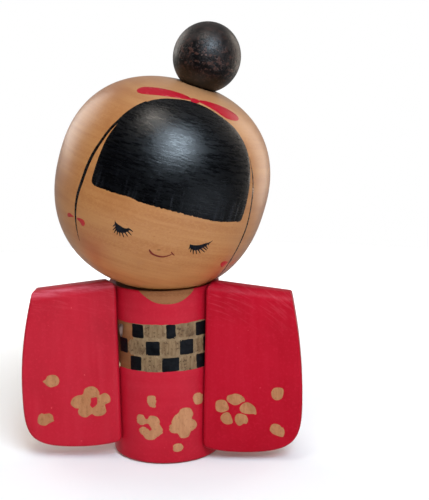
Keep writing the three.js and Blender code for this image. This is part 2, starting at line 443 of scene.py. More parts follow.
class Finish:
    """One material, put together a node at a time on a Principled shader."""

    def __init__(self, name, roughness, **settings):
        self.material = bpy.data.materials.new(name)
        self.material.use_nodes = True
        self.tree = self.material.node_tree
        self.shader = self.tree.nodes["Principled BSDF"]
        self.shader.inputs["Roughness"].default_value = roughness
        for setting, value in settings.items():
            socket = setting.replace("_", " ").title().replace("Ior", "IOR")
            self.shader.inputs[socket].default_value = value
        around = self.node("ShaderNodeTexCoord").outputs
        self.here, self.facing = around["Object"], around["Normal"]
        self.paint = None

    def node(self, kind, inputs=None, **settings):
        item = self.tree.nodes.new(kind)
        for name, value in settings.items():
            setattr(item, name, value)
        for name, value in (inputs or {}).items():
            self.feed(item.inputs[name], value)
        return item

    def feed(self, socket, value):
        if isinstance(value, bpy.types.NodeSocket):
            self.tree.links.new(value, socket)
        else:
            socket.default_value = value

    def stretched(self, rate, turn=(0, 0, 0)):
        """This object's coordinates, times so many features per metre, along each axis or all."""
        return self.node("ShaderNodeMapping", {
            "Vector": self.here, "Scale": rate if isinstance(rate, tuple) else (rate,) * 3,
            "Rotation": turn,
        }).outputs[0]

    def noise(self, rate, turn=(0, 0, 0), **settings):
        return self.noise_at(self.stretched(rate, turn), **settings)

    def noise_at(self, where, detail=3, roughness=0.55, distortion=0.0):
        return self.node("ShaderNodeTexNoise", {
            "Vector": where, "Scale": 1, "Detail": detail, "Roughness": roughness,
            "Distortion": distortion,
        }).outputs["Fac"]

    def parts(self, vector):
        return self.node("ShaderNodeSeparateXYZ", {0: vector}).outputs

    def spread(self, value, low, high, to_low=0.0, to_high=1.0):
        """Value from low to high, made to run from to_low to to_high and held there."""
        return self.node("ShaderNodeMapRange", {
            0: value, 1: low, 2: high, 3: to_low, 4: to_high,
        }, interpolation_type="SMOOTHSTEP").outputs[0]

    def sum(self, a, b, operation="ADD"):
        return self.node("ShaderNodeMath", {0: a, 1: b}, operation=operation).outputs[0]

    def times(self, a, b):
        return self.sum(a, b, "MULTIPLY")

    def blend(self, a, b, share):
        return self.node("ShaderNodeMix", {
            0: share, 6: shade(*a) if isinstance(a, tuple) else a, 7: shade(*b),
        }, data_type="RGBA").outputs[2]

    def ground(self, a, b, value, low, high, strength=1.0):
        """Starts the base colour: a, and b where the value is from low to high and over."""
        self.tint_by(b, self.spread(value, low, high, 0, strength), a)

    def tint(self, tint, value, low, high, strength=1.0):
        """Tints the base colour where the value is from low to high and over."""
        self.tint_by(tint, self.spread(value, low, high, 0, strength))

    def tint_by(self, tint, share, under=None):
        self.paint = self.blend(under or self.paint, tint, share)
        self.feed(self.shader.inputs["Base Color"], self.paint)

    def away(self, point):
        """How far from a point in this object's frame, in metres."""
        return self.node("ShaderNodeVectorMath", {
            0: self.here, 1: Vector(point) * MM,
        }, operation="DISTANCE").outputs["Value"]

    def height(self):
        return self.parts(self.here)[2]

    def rough(self, value, low, high, to_low, to_high):
        self.feed(self.shader.inputs["Roughness"], self.spread(value, low, high, to_low, to_high))

    def relief(self, height, depth, strength=1.0):
        """The finished material, with bumps of the given depth in millimetres."""
        bump = self.node("ShaderNodeBump", {
            "Height": height, "Distance": depth * MM, "Strength": strength,
        })
        self.feed(self.shader.inputs["Normal"], bump.outputs[0])
        return self.material


def wood(name, pale, mid, deep, roughness, streaks=(26, 26, 760), shine=0.5, gloss=0.0,
         blush_and_painted_light=()):
    """Close-grained turned wood under clear varnish: faint streaks round the lathe's axis, soft
    clouds, fine mottling and pores, and soft tinted patches of (centre, reach, strength, tint):
    paint blushes, painted highlights and painted shade."""
    f = Finish(name, roughness, specular_ior_level=shine, coat_weight=gloss, coat_roughness=0.3)
    x, y, z = streaks
    long = f.noise(streaks, detail=4, roughness=0.6, distortion=0.1)
    broad = f.noise((x * 0.8, y * 0.8, z / 5), (0.2, -0.35, 0))
    clouds = f.noise((48, 48, 60), roughness=0.6)
    mottle = f.noise((1500, 1500, 1900), roughness=0.7)
    pores = f.noise((1100, 1100, 3600), detail=1)
    f.ground(mid, pale, long, 0.32, 0.7, 0.75)
    f.tint(pale, mottle, 0.42, 0.66, 0.55)
    f.tint(deep, broad, 0.5, 0.72, 0.4)
    f.tint(deep, clouds, 0.48, 0.72, 0.5)
    f.tint(deep, pores, 0.68, 0.8, 0.7)
    # Patches: paint blushes, and painted highlights and shadows.
    for centre, reach, strength, tint in blush_and_painted_light:
        f.tint_by(tint, f.spread(f.away(centre), 0, reach * MM, strength, 0))
    f.rough(mottle, 0.3, 0.7, roughness * 0.9, roughness * 1.12)
    return f.relief(f.sum(long, mottle), 0.012, 0.5)


DUST = (218, 92, 96)
SANDED = (210, 84, 98)
# The pale pink of a painted highlight, laid where a sleeve's rounded top faces up toward the
# light.
PAINTED_TOP_HIGHLIGHT = (226, 122, 140)
ARCS_PER_METRE = 2100


def red_paint(name, shades, streaks, shine=0.25, scratches=None, top_highlight=None):
    """Semi-matt red paint in (usual, pale, deep) shades, brushed along one axis, with dust
    under it. Scratches are round sanding marks of (centre, from height, to height), and
    top_highlight is the (amount, grain) of a painted highlight on the upward-facing crown."""
    red, pale, deep = shades
    f = Finish(name, 0.4, specular_ior_level=shine)
    brush = f.noise(streaks, detail=4, roughness=0.65)
    clouds = f.noise(50)
    dust = f.noise(620, detail=1)
    weave = f.noise(1300, detail=2)
    f.ground(red, pale, brush, 0.3, 0.75, 0.45)
    f.tint(deep, clouds, 0.4, 0.7, 0.6)
    f.tint(pale, weave, 0.5, 0.7, 0.5)
    f.tint(DUST, dust, 0.775, 0.82, 0.6)
    f.rough(brush, 0.3, 0.75, 0.28, 0.38)
    bumps = f.sum(brush, f.times(weave, 0.8))
    if scratches:
        centre, low, high = scratches
        apart = f.times(f.away(centre), ARCS_PER_METRE)
        along = f.parts(f.stretched(170))
        lines = f.noise_at(f.node("ShaderNodeCombineXYZ", {
            0: apart, 1: along[0], 2: along[2],
        }).outputs[0], detail=1)
        where = f.times(f.spread(f.height(), low * MM, high * MM),
                        f.spread(clouds, 0.3, 0.6, 0.45, 1))
        marks = f.times(f.spread(lines, 0.52, 0.7), where)
        f.tint_by(SANDED, f.times(marks, 0.15))
        bumps = f.sum(bumps, f.times(marks, 1.2))
    # A painted highlight along the upward-facing crown, broken up by a grain.
    if top_highlight:
        amount, grain = top_highlight
        facing = f.parts(f.facing)[2]
        crown = f.times(f.spread(facing, 0.1, 0.75), f.spread(facing, 0.98, 0.8))
        highlight_grain = f.noise(grain, detail=4, roughness=0.7)
        highlight_share = f.times(f.spread(highlight_grain, 0.35, 0.65, 0.25, 1), crown)
        f.tint_by(PAINTED_TOP_HIGHLIGHT, f.times(highlight_share, amount))
        bumps = f.sum(bumps, f.times(highlight_share, 0.6))
    return f.relief(bumps, 0.016, 0.5)


def black_paint(name, streaks, roughness=0.3, shine=0.5, brow=None,
                shades=((1, 1, 2), (10, 11, 16))):
    """Black lacquer in (deep, pale) shades laid on with a dry brush, with finer strokes below
    the brow's height."""
    f = Finish(name, roughness, specular_ior_level=shine)
    x, y, z = streaks
    brush = f.noise(streaks, detail=5, roughness=0.7, distortion=0.25)
    broad = f.noise((x * 1.3, y * 1.3, z / 2), detail=5, roughness=0.75, distortion=0.3)
    fine = f.noise(1700, detail=2)
    bumps = f.sum(brush, f.times(fine, 0.8))
    f.ground(*shades, brush, 0.42, 0.8)
    if brow is not None:
        strands = f.noise((950, 950, 60), roughness=0.7)
        low = f.spread(f.height(), brow * MM, (brow - 7) * MM)
        strokes = f.times(f.spread(strands, 0.5, 0.72), low)
        f.tint_by((52, 54, 62), f.times(strokes, 0.35))
        bumps = f.sum(bumps, strokes)
    f.rough(broad, 0.35, 0.65, roughness * 0.75, roughness * 1.5)
    return f.relief(bumps, 0.08, 0.8)


def brushed_paint(name, light, mid, dark, roughness, streaks, metal=0.0, spots=0.5):
    """Opaque paint with brush streaks and darker specks."""
    f = Finish(name, roughness, metallic=metal, specular_ior_level=0.35)
    brush = f.noise(streaks, detail=4, roughness=0.65)
    clouds = f.noise(260)
    specks = f.noise(1400, detail=2)
    f.ground(mid, light, brush, 0.35, 0.7)
    f.tint(dark, clouds, 0.5, 0.75, spots * 0.7)
    f.tint(dark, specks, 0.55, 0.7, spots)
    f.rough(specks, 0.35, 0.7, roughness * 0.85, roughness * 1.15)
    return f.relief(f.sum(brush, specks), 0.02, 0.5)


def bun_stain():
    """Dark stain that took unevenly on the turned ball, most of all round its middle, with
    painted shade darkening its lower half."""
    f = Finish("bun_stain", 0.42)
    blotches = f.noise(240, detail=5, roughness=0.75)
    rusty = f.noise((760, 760, 900), (0.4, 0.2, 0), roughness=0.7)
    pits = f.noise((820, 820, 900), roughness=0.7)
    bald = f.noise(640, (0, 0.7, 0.3), detail=1)
    middle = f.spread(f.sum(f.height(), 0, "ABSOLUTE"), 1 * MM, 6 * MM, 1, 0.35)
    f.ground((9, 7, 8), (39, 31, 29), blotches, 0.38, 0.64)
    # Painted shade: darker towards the bottom, under the ball.
    f.tint((13, 9, 8), f.height(), 0, -7 * MM, 0.85)
    rust = f.times(f.spread(rusty, 0.5, 0.62), middle)
    f.tint_by((80, 52, 44), f.times(rust, 0.7))
    pitted = f.times(f.spread(pits, 0.53, 0.61), middle)
    f.tint_by((5, 4, 5), f.times(pitted, 0.9))
    spots = f.times(f.spread(bald, 0.73, 0.8), middle)
    f.tint_by((104, 78, 72), f.times(spots, 0.8))
    f.rough(blotches, 0.35, 0.7, 0.36, 0.5)
    return f.relief(f.sum(blotches, f.times(pitted, -0.8)), 0.07, 0.8)


def dried_glue():
    f = Finish("dried_glue", 0.35, specular_ior_level=0.3)
    lumps = f.noise((700, 700, 420))
    # Both shades are kept dark as painted shade, for the sleeve's shadow that the bead sits in.
    f.ground((62, 42, 36), (116, 92, 84), lumps, 0.35, 0.65)
    f.rough(lumps, 0.3, 0.7, 0.3, 0.5)
    return f.relief(lumps, 0.04, 0.6)


# ---- Pieces ----

def finished(item, material, body, slot, *nodes):
    item.data.materials.clear()
    item.data.materials.append(material)
    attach(item, body)
    if nodes:
        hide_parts(*nodes)
    return item


def paint_figure(film, name, material):
    """Paint on the body or a sleeve."""
    finished(film.made(name), material, "figure", "kimono_paint")


def paint_head(name, material, outline, lift, spacing):
    """Paint on the head, from an outline in the head's own frame."""
    film = Film().add(outline, on_head, lift, spacing)
    finished(film.made(name, HEAD_PLACE), material, "head_and_bun", "face_wood")


RED = [(179, 20, 41), (188, 32, 52), (164, 15, 34)]
DEEP_RED = [(168, 13, 34), (178, 24, 45), (154, 10, 28)]
# Two cheek blushes of paint, and a painted highlight: the crown paler where the light from above
# falls.
CHEEK_BLUSH_AND_CROWN_LIGHT = [
    ((-16, -19, -19), 9, 0.3, (177, 79, 48)),
    ((19, -15, -17), 9, 0.5, (186, 72, 50)),
    ((0, -6, 27), 23, 0.5, (198, 155, 115)),
]
# The body's bare wood is painted darker than the head's wood as painted shade, for the shade under
# the head, and carries a painted shadow of the right sleeve beside the sash.
SHADE_DARKENED_BARE_WOOD = wood("body_wood", (148, 99, 65), (129, 80, 48), (96, 52, 29), 0.6, shine=0.1,
            blush_and_painted_light=[((-11.5, -10.5, 33.5), 8, 0.7, (84, 46, 27))])
FACE = wood("face_wood", (182, 127, 76), (166, 106, 58), (146, 83, 39), 0.36, gloss=0.3,
            blush_and_painted_light=CHEEK_BLUSH_AND_CROWN_LIGHT)
DOWEL = wood("dowel_wood", (232, 206, 160), (214, 184, 134), (186, 150, 100), 0.7,
             (760, 760, 26))
RIGHT_RED = red_paint("right_sleeve_red", RED, (700, 700, 40),
                      scratches=((-60, -12, -120), 36, 49), top_highlight=(0.5, (180, 180, 1500)))
LEFT_RED = red_paint("left_sleeve_red", DEEP_RED, (700, 700, 40), shine=0.06,
                     scratches=((4, -12, 8), 34, 47), top_highlight=(0.03, (1500, 400, 300)))
BODY_RED = red_paint("body_red", RED, (30, 30, 700), 0.2)
RIBBON_RED = red_paint("ribbon_red", DEEP_RED, (60, 60, 900))
HAIR = black_paint("hair_black", (190, 190, 3200), 0.26, 0.68, brow=6)
EYE_BLACK = black_paint("eye_black", (900, 900, 900), 0.45, 0.3,
                        shades=((12, 14, 21), (32, 37, 50)))
SASH_BLACK = black_paint("sash_black", (300, 300, 900), 0.5, 0.4,
                         shades=((6, 6, 10), (19, 20, 25)))
GOLD = brushed_paint("sash_gold", (145, 118, 86), (117, 90, 63), (68, 46, 30), 0.5,
                     (1500, 1500, 240), metal=0.15, spots=0.75)
PALE_GOLD = brushed_paint("sash_pale_gold", (146, 121, 91), (126, 100, 70), (84, 60, 40), 0.5,
                          600, spots=0.4)
FLOWER = brushed_paint("flower_gold", (186, 130, 90), (172, 117, 78), (134, 92, 55), 0.55,
                       (900, 900, 200), spots=0.4)
SLEEVE_GOLD = brushed_paint("sleeve_flower_gold", (177, 120, 79), (162, 105, 65), (122, 80, 46),
                            0.55, (900, 900, 200), spots=0.4)
LIP = brushed_paint("lip_red", (120, 32, 25), (106, 24, 19), (84, 17, 14), 0.5, 700)
BOW = brushed_paint("bow_red", (182, 40, 44), (172, 32, 38), (140, 24, 30), 0.45, 500)
FADED_BOW = brushed_paint("faded_bow_red", (190, 109, 80), (185, 97, 72), (177, 83, 63), 0.45,
                          500)
NOSE = brushed_paint("nose_brown", (132, 92, 50), (116, 78, 42), (92, 62, 36), 0.5, 500)

# The body: bare wood, turned, with the seat for the head and the peg's hole in its top.

def body_profile():
    hole = NECK_PEG["radius"] + GAP
    profile = [(0, 0), (BODY_RADIUS - BASE_CHAMFER, 0), (BODY_RADIUS, BASE_CHAMFER)]
    for i in range(1, WALL_RINGS + 1):
        up = BASE_CHAMFER + (RIM_HEIGHT - RIM_ROUND - BASE_CHAMFER) * i / WALL_RINGS
        profile.append((BODY_RADIUS, up))
    for i in range(1, RIM_RINGS + 1):
        angle = i / RIM_RINGS * math.pi / 2
        profile.append((DISH_RADIUS + RIM_ROUND * math.cos(angle),
                        RIM_HEIGHT - RIM_ROUND + RIM_ROUND * math.sin(angle)))
    for i in range(1, DISH_RINGS + 1):
        r = DISH_RADIUS + (hole - DISH_RADIUS) * i / DISH_RINGS
        profile.append((r, DISH_CENTRE - math.sqrt(DISH_SPHERE ** 2 - r ** 2)))
    bottom = NECK_PEG["start"] - GAP
    return profile + [(hole, bottom), (0, bottom)]


def across_place(side, height):
    """Where a peg lies across, outwards to one side, in the middle of a sleeve."""
    middle = SLEEVE_FRONT + SLEEVE_THICKNESS / 2
    return moved(0, middle, height) @ turned(side * 90, "Y")


body = made("body_turned", *lathe(body_profile(), BODY_SIDES))
for side in (-1, 1):
    carve(body, hole_tool(SLEEVE_PEG, across_place(side, SLEEVE_PEG["height"])))
finished(body, SHADE_DARKENED_BARE_WOOD, "figure", "face_wood", "body")

# The kimono's red, above and below the sash. The neckline is left as bare wood.

NECKLINE = spline([
    (-25, 51.6), (-22, 50.3), (-18.6, 49.3), (-14, 48.3), (-9.8, 47.5), (-3.7, 46.6), (3, 46.15),
    (9.7, 46), (16.4, 46.08), (23.4, 46.56), (29.3, 47.4), (34.6, 48.45), (37, 49.15),
    (40, 50.3), (43, 51.6),
], False, 4)
RED_END = RIM_TOP + 1.4  # a little down inside the dish
SASH_TOP, SASH_BOTTOM = 40.3, 26.9
BASE_PAINT_END = 0.12
SLOW_RATE, QUICK_RATE = 2.2, 9
QUICK_SHARE = 0.45


def wavering(angle, seed, size):
    """A hand-painted edge's wander, the same at both ends of the circle."""
    x, y = math.cos(math.radians(angle)), math.sin(math.radians(angle))
    slow = noise.noise(Vector((x * SLOW_RATE, y * SLOW_RATE, seed)))
    quick = noise.noise(Vector((x * QUICK_RATE, y * QUICK_RATE, seed + 4)))
    return size * (slow + QUICK_SHARE * quick)


def red_top(angle):
    xs, zs = zip(*NECKLINE)
    return min(RED_END, float(np.interp(angle, xs, zs))) if xs[0] < angle < xs[-1] else RED_END


def red_bottom(angle):
    return SASH_TOP + wavering(angle, 1, 0.35)


def skirt_top(angle):
    return SASH_BOTTOM + wavering(angle, 2, 0.16)


def skirt_bottom(angle):
    return BASE_PAINT_END


paint_figure(Film().ring(red_bottom, red_top), "kimono_top", BODY_RED)
paint_figure(Film().ring(skirt_bottom, skirt_top), "kimono_skirt", BODY_RED)


# The sash: three rows of black and gold squares on thin gold, with bare wood beside them. A row
# is (from height, to height, black squares as (from angle, to angle), how many more go round the
# back at the same pitch).

draw = random.Random(11)

WOBBLE = 0.12
SIDE_STOPS = (0.28, 0.42, 0.58, 0.72)
SIDE_SHARE = 0.45  # of the wobble
LONGEST_CORNER = 0.26  # of a side
HALF_SQUARES = (0.19, 0.22)  # of the pitch, at the back
SQUARE_CORNER = 0.3
GOLD_CORNER = 1.1
GOLD_INSET = 0.25
GOLD_OVER = 0.15
GROUND_LIFT = 0.035
GOLD_LIFT = 0.065
BLACK_LIFT = 0.1


def patch(low, high, bottom, top, corner):
    """A square painted by hand: its sides wander and its corners are a little round."""
    x0, x1 = math.radians(low) * BODY_RADIUS, math.radians(high) * BODY_RADIUS
    lean = [draw.uniform(-WOBBLE, WOBBLE) for _ in range(8)]
    corners = [(x0 + lean[0], bottom + lean[1]), (x1 + lean[2], bottom + lean[3]),
               (x1 + lean[4], top + lean[5]), (x0 + lean[6], top + lean[7])]
    outline = []
    for i, (x, y) in enumerate(corners):
        nx, ny = corners[(i + 1) % 4]
        length = math.hypot(nx - x, ny - y)
        ends = min(corner / length, LONGEST_CORNER)
        for t in (ends, *SIDE_STOPS, 1 - ends):
            out = draw.uniform(-WOBBLE, WOBBLE) * SIDE_SHARE
            outline.append((x + (nx - x) * t + out * (ny - y) / length,
                            y + (ny - y) * t - out * (nx - x) / length))
    return loop(outline, 2)


SASH_ROWS = [
    (36.35, 40.15, [(-29.2, -16), (7.4, 17.4), (39.4, 52.4)], 7),
    (31.5, 35.6, [(-47.6, -36), (-14, 0.8), (21.1, 35.7), (48.7, 62)], 6),
    (26.95, 30.95, [(-32.8, -19.4), (2.5, 19.9), (39.2, 51.5)], 7),
]
GOLD_START, GOLD_END, GOLD_STEP = -28, 305, 3  # in degrees
ground = unrolled([(a, SASH_BOTTOM - 0.1) for a in range(GOLD_START, GOLD_END, GOLD_STEP)],
                  BODY_RADIUS)
ground += [(x, SASH_TOP + 0.12) for x, _ in reversed(ground)]
paint_figure(Film().add(ground, on_body, GROUND_LIFT, 1.2), "sash_ground", PALE_GOLD)
black, gold = Film(), Film()
for bottom, top, squares, behind in SASH_ROWS:
    start = (squares[-1][0] + squares[-1][1]) / 2
    pitch = (360 + (squares[0][0] + squares[0][1]) / 2 - start) / (behind + 1)
    for k in range(1, behind + 1):
        middle = start + pitch * k
        half = pitch * draw.uniform(*HALF_SQUARES)
        squares = squares + [(middle - half, middle + half)]
    for low, high in squares:
        black.add(patch(low, high, bottom, top, SQUARE_CORNER), on_body, BLACK_LIFT)
    for (_, low), (high, _) in zip(squares, squares[1:]):
        square = patch(low + GOLD_INSET, high - GOLD_INSET, bottom - GOLD_OVER, top + GOLD_OVER,
                       GOLD_CORNER)
        gold.add(square, on_body, GOLD_LIFT)
gold.add(patch(-29.5, -14.3, 31.5, 35.7, 0.8), on_body, GOLD_LIFT)
paint_figure(black, "sash_black_squares", SASH_BLACK)
paint_figure(gold, "sash_gold_squares", GOLD)


# The flowers on the skirt, as (degrees round, height).

MARK_SPACING = 0.6
SKIRT_LIFT = 0.11
SKIRT_MARKS = {
    "skirt_flower_right": [
        (-27.8, 12.7), (-26.8, 13.7), (-24.4, 14.4), (-20.7, 14.5), (-17.9, 14.2), (-16.3, 13.5),
        (-15.2, 13.3), (-13.8, 13.9), (-12, 14.4), (-9, 14.5), (-5.7, 14.3), (-2.5, 13.6),
        (-1, 12.7), (-1.3, 11.8), (0.4, 11.1), (2.1, 10), (1.2, 9.1), (-2.4, 8.3), (-6.4, 7.5),
        (-9.1, 7), (-12.9, 6.8), (-16.6, 7), (-20.1, 7.9), (-23.7, 8.7), (-25.3, 9.4),
        (-23.8, 10.3), (-21.2, 10.85), (-17.6, 10.9), (-14.8, 10.55), (-12.5, 10.1),
        (-10.8, 10.2), (-12.3, 10.9), (-14, 11.6), (-15.7, 11.65), (-17.5, 11.3),
        (-20.4, 11.1), (-23.4, 11.05), (-26, 11.4), (-27.4, 12),
    ],
    "skirt_flower_left": [
        (7.1, 10.7), (8.2, 11.6), (9.6, 12), (10.2, 12.8), (12.2, 13.9), (15.5, 14.7),
        (18, 15.1), (19.6, 15.9), (22.9, 16.4), (27.7, 16.35), (31.9, 15.7), (34.3, 14.6),
        (34.2, 13.5), (32.6, 12.8), (35.2, 12.3), (38.2, 11.2), (38.1, 10.1), (35.3, 9.3),
        (31, 8.8), (29.7, 8), (26.9, 7.3), (22.1, 7.1), (18.2, 7.7), (16, 8.7), (12.4, 8.9),
        (9.2, 9.4), (7.4, 10),
    ],
    "skirt_dot_right": [
        (-15, 19), (-13.4, 20), (-10.5, 20.3), (-6.3, 20.3), (-4.3, 19.3), (-3.8, 18.4),
        (-4.8, 17.4), (-4.9, 16.4), (-8.1, 16.4), (-11.6, 16.7), (-14.4, 17.6),
    ],
    "skirt_dot_left": [
        (33.4, 18.5), (35.1, 19.6), (38.8, 20.1), (43, 19.8), (46.5, 19.1), (47.2, 18),
        (46.3, 16.8), (43.5, 16.2), (39.2, 16.2), (35.2, 16.8),
    ],
    "skirt_dot_low": [
        (10.4, 4.6), (11.1, 5.5), (14.1, 6.2), (17.4, 6.25), (20.6, 5.9), (22.9, 5),
        (22.2, 4.2), (19.1, 3.5), (15.1, 3.3), (11.9, 3.7),
    ],
}
for name, outline in SKIRT_MARKS.items():
    film = Film().add(loop(unrolled(outline, BODY_RADIUS)), on_body, SKIRT_LIFT, MARK_SPACING)
    paint_figure(film, name, FLOWER)


# The sleeves: boards with rounded edges, coved to the body and scooped under the head.

def bezier(points, steps):
    """Points along a Bezier curve, without its last one."""
    line = []
    for step in range(steps):
        t = step / steps
        row = [Vector(p) for p in points]
        while len(row) > 1:
            row = [a.lerp(b, t) for a, b in zip(row, row[1:])]
        line.append(tuple(row[0]))
    return line


CORNER_OUT, CORNER_UP = 0.96, 0.25
BOW_UP = 0.45


def sleeve_outline(s):
    """A sleeve seen from the front, with x outwards from the body's axis."""
    (inner_x, inner_z), (hem_x, hem_z) = s["inner"], s["hem"]
    (wide_x, wide_z), (shoulder_x, shoulder_z) = s["widest"], s["shoulder"]
    top_x, top_z = s["top"]
    corner_x = hem_x + (wide_x - hem_x) * CORNER_OUT
    corner_z = hem_z + (wide_z - hem_z) * CORNER_UP
    bow_z = wide_z + (shoulder_z - wide_z) * BOW_UP
    turn = (shoulder_x + 0.35, shoulder_z - SHOULDER_ROUND)
    end = (shoulder_x - SHOULDER_ROUND, shoulder_z + 0.15)
    foot = (inner_x + 2, inner_z - 0.3)
    return [
        *bezier([(inner_x, inner_z + 1.5), (inner_x, inner_z), foot], 8),
        *bezier([foot, ((inner_x + hem_x) / 2, hem_z), (hem_x, hem_z)], 16),
        *bezier([(hem_x, hem_z), (corner_x, hem_z), (wide_x, corner_z), (wide_x, wide_z)], 32),
        *bezier([(wide_x, wide_z), (wide_x, bow_z), turn], 24),
        *bezier([turn, (shoulder_x + 0.15, shoulder_z), end], 10),
        *bezier([end, (top_x, top_z)], 16),
        *bezier([(top_x, top_z), (s["neck"], top_z), (s["neck"], top_z - 2.5)], 8),
        *bezier([(s["neck"], top_z - 2.5), (inner_x, inner_z + 1.5)], 32),
    ]


def inset(outline, by):
    """The outline moved inwards. It runs anticlockwise."""
    moved = []
    for i, (x, y) in enumerate(outline):
        before, after = Vector(outline[i - 1]), Vector(outline[(i + 1) % len(outline)])
        here = Vector((x, y))
        a, b = (here - before).normalized(), (after - here).normalized()
        inward = Vector((-a.y, a.x)) + Vector((-b.y, b.x))
        inward.normalize()
        reach = by / max(0.5, inward.dot(Vector((-a.y, a.x))))
        moved.append(tuple(here + inward * reach))
    return moved


def board(outline):
    """The board with its long edges rounded, front and back."""
    back = SLEEVE_FRONT + SLEEVE_THICKNESS
    steps = 6
    rings = []
    for k in range(steps + 1):
        angle = k / steps * math.pi / 2
        rings.append((SLEEVE_EDGE * (1 - math.sin(angle)),
                      SLEEVE_FRONT + SLEEVE_EDGE * (1 - math.cos(angle))))
    rings += [(by, back + SLEEVE_FRONT - y) for by, y in reversed(rings)]
    count = len(outline)
    front, _, triangles = filled(inset(outline, SLEEVE_EDGE), (), 2.2)
    size = len(front)
    verts = [(x, SLEEVE_FRONT - unevenness(x, z), z) for x, z in front]
    verts += [(x, back, z) for x, z in front]
    faces = list(triangles)
    faces += [(c + size, b + size, a + size) for a, b, c in triangles]
    layers = [list(range(count))]
    for by, y in rings[1:-1]:
        layers.append(list(range(len(verts), len(verts) + count)))
        verts += [(x, y, z) for x, z in inset(outline, by)]
    layers.append([size + i for i in range(count)])
    for a, b in zip(layers, layers[1:]):
        for i in range(count):
            k = (i + 1) % count
            faces.append((a[k], a[i], b[i], b[k]))
    return verts, faces


def top_bar(s, side):
    """A long bar, rounded along its top edges, that lies along the sleeve's falling top."""
    half = SLEEVE_THICKNESS / 2 + 0.05
    section = [(-half, -60), (half, -60)]
    for end, middle in enumerate((half - SLEEVE_TOP_ROUND, SLEEVE_TOP_ROUND - half)):
        for i in range(13):
            angle = (end + i / 12) * math.pi / 2
            section.append((middle + SLEEVE_TOP_ROUND * math.cos(angle),
                            SLEEVE_TOP_ROUND * (math.sin(angle) - 1)))
    count = len(section)
    verts = [(side * x, y, z) for x in (-20, 50) for y, z in section]
    faces = [tuple(range(count)), tuple(range(2 * count - 1, count - 1, -1))]
    faces += [(i, i + count, (i + 1) % count + count, (i + 1) % count) for i in range(count)]
    if side > 0:
        faces = [f[::-1] for f in faces]
    (shoulder_x, shoulder_z), (top_x, top_z) = s["shoulder"], s["top"]
    fall = math.atan2(top_z - shoulder_z - 0.15, shoulder_x - SHOULDER_ROUND - top_x)
    middle = SLEEVE_FRONT + SLEEVE_THICKNESS / 2
    place = moved(side * top_x, middle, top_z) @ Matrix.Rotation(side * fall, 4, "Y")
    return made("tool", verts, faces, place)


TOOL_REACH = 75


def sleeve(name, node, s, side, material):
    outline = sleeve_outline(s)
    if side < 0:
        outline = [(-x, z) for x, z in outline][::-1]
    item = made(name, *board(outline))
    carve(item, top_bar(s, side), "INTERSECT")
    cove = BODY_RADIUS + GAP
    tall = [(0, -TOOL_REACH), (cove, -TOOL_REACH), (cove, TOOL_REACH), (0, TOOL_REACH)]
    carve(item, made("tool", *lathe(tall, BODY_SIDES)))
    sweep = head_profile(HEAD_BOTTOM + SWEEP_MARGIN, SWEEP_RINGS)
    carve(item, made("tool", *lathe(sweep, SWEEP_SIDES), moved(0, 0, HEAD_CENTRE.z)))
    carve(item, hole_tool(SLEEVE_PEG, across_place(side, SLEEVE_PEG["height"])))
    item.modifiers.new("flat_faces", "WEIGHTED_NORMAL").keep_sharp = True
    return finished(item, material, "figure", "kimono_paint", node)


sleeve("sleeve_right_board", "right_sleeve", RIGHT_SLEEVE, -1, RIGHT_RED)
sleeve("sleeve_left_board", "left_sleeve", LEFT_SLEEVE, 1, LEFT_RED)

# The flowers on the sleeves, as (x, height).

SLEEVE_MARKS = {
    "sleeve_right_dot_high": [
        (-33.4, 23.1), (-32.5, 23.7), (-32, 24.6), (-30.8, 25), (-29.7, 24.9), (-28.9, 24.2),
        (-28.7, 23.2), (-29.1, 22.2), (-30, 21.7), (-31.2, 21.4), (-32.3, 21.9), (-32.8, 22.5),
    ],
    "sleeve_right_dot_low": [
        (-35.4, 11.3), (-35.1, 12.9), (-34.2, 13.7), (-33.5, 13.5), (-32.8, 13.6), (-31.9, 13.7),
        (-31, 13), (-30.9, 12), (-30.7, 11.5), (-31.5, 11.1), (-32.3, 10.7), (-33.2, 10.1),
        (-34.4, 10.2), (-35.2, 10.7),
    ],
    "sleeve_left_dot_high": [
        (30.4, 20.1), (30.9, 21.2), (32, 21.6), (33.6, 21.3), (33.7, 19.8), (33.2, 18.4),
        (31.8, 17.9), (30.7, 18.6),
    ],
    "sleeve_left_dot_low": [
        (29.9, 9.4), (30.3, 10.6), (31.2, 11.1), (32.6, 10.7), (33.2, 10), (33.6, 9.9),
        (34, 8.7), (33.6, 7.3), (32.5, 7.4), (31, 8), (30.2, 8.7),
    ],
    "sleeve_left_petal_top": [
        (18, 18.3), (18.4, 19.2), (19.4, 19.5), (20.5, 19.8), (21.9, 19.4), (22.8, 18.6),
        (23.1, 17.6), (22.3, 17.3), (21.4, 16.7), (20.2, 16.4), (19.1, 16.9), (18.3, 17.5),
    ],
    "sleeve_left_petal_inner": [
        (14.9, 16.4), (15.2, 17.6), (16.6, 18), (17.8, 17.6), (18.3, 16.6), (18.6, 15.4),
        (17.9, 14.7), (16.5, 14.3), (15.1, 14.9),
    ],
    "sleeve_left_petal_low_inner": [
        (16.2, 12.6), (16.7, 13.7), (17.9, 14.4), (18.8, 14), (19.3, 12.8), (19.6, 11.3),
        (18.3, 10.8), (17, 11.2),
    ],
    "sleeve_left_petal_low_outer": [
        (20.2, 12.3), (20.6, 13.6), (21.6, 14), (22.5, 13.8), (23.4, 13.4), (23.9, 12.1),
        (23.4, 11), (22.7, 11.1), (21.5, 10.4), (20.6, 11.1),
    ],
    "sleeve_left_petal_outer": [
        (21.6, 15.7), (22.3, 16.7), (23.7, 17.3), (25.1, 16.6), (26, 15.5), (26.2, 13.8),
        (25.3, 13.9), (23.7, 13.9), (22.4, 14.2), (21.8, 14.7),
    ],
}
